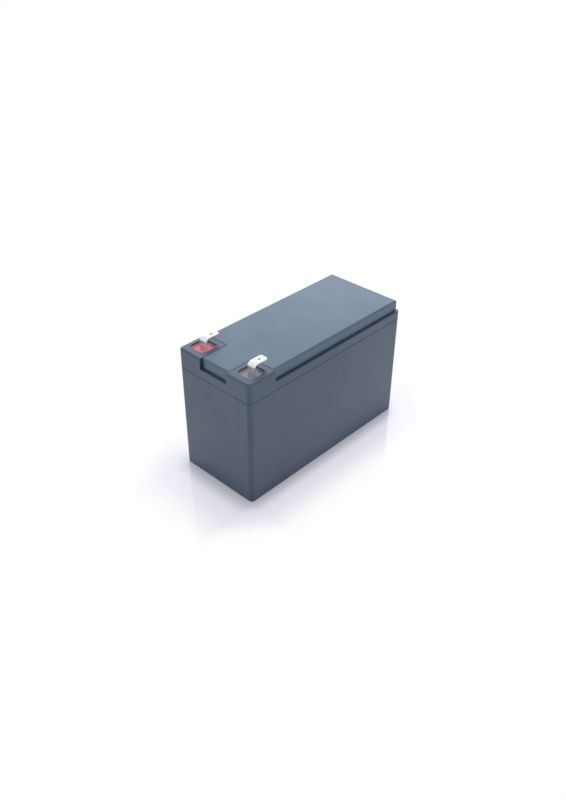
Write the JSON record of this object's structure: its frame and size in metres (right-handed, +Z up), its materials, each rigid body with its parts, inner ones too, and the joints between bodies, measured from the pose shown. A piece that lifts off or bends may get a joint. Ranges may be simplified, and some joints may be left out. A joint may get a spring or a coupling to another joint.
{
  "type": "sealed lead-acid battery",
  "caption": "Box-shaped sealed rechargeable battery with a stepped top cover and two bent push-on tabs in corner wells at one short end.",
  "frame": {"origin": "middle of the base, on the surface that the battery stands on", "axes": "+Z up, +X along the case away from the terminal end, +Y across the case towards the positive terminal"},
  "size_m": [0.151, 0.065, 0.1],
  "materials": {
    "case_plastic": "satin dark blue-black moulded plastic",
    "cover_plastic": "satin dark blue-black moulded plastic, finely textured",
    "tab_metal": "bright tin plate over brass",
    "red_resin": "poured red resin",
    "black_resin": "poured black resin",
    "lead": "dull cast lead",
    "positive_paste": "porous dark brown paste on a lead grid",
    "negative_paste": "porous grey paste on a lead grid",
    "glass_mat": "soft white glass fibre mat",
    "seal_rubber": "soft black rubber"
  },
  "bodies": {
    "root": {"connector_1": "lead", "connector_2": "lead", "connector_3": "lead", "connector_4": "lead", "connector_5": "lead", "container": "case_plastic", "cover": "cover_plastic", "lid": "case_plastic", "negative_end_strap": "lead", "negative_plates_1": "negative_paste", "negative_plates_2": "negative_paste", "negative_plates_3": "negative_paste", "negative_plates_4": "negative_paste", "negative_plates_5": "negative_paste", "negative_plates_6": "negative_paste", "negative_post_ring": "seal_rubber", "negative_terminal": "tab_metal", "negative_well_seal": "black_resin", "positive_end_strap": "lead", "positive_plates_1": "positive_paste", "positive_plates_2": "positive_paste", "positive_plates_3": "positive_paste", "positive_plates_4": "positive_paste", "positive_plates_5": "positive_paste", "positive_plates_6": "positive_paste", "positive_post_ring": "seal_rubber", "positive_terminal": "tab_metal", "positive_well_seal": "red_resin", "separators_1": "glass_mat", "separators_2": "glass_mat", "separators_3": "glass_mat", "separators_4": "glass_mat", "separators_5": "glass_mat", "separators_6": "glass_mat", "valve_cap_1": "seal_rubber", "valve_cap_2": "seal_rubber", "valve_cap_3": "seal_rubber", "valve_cap_4": "seal_rubber", "valve_cap_5": "seal_rubber", "valve_cap_6": "seal_rubber"}
  },
  "joints": []
}
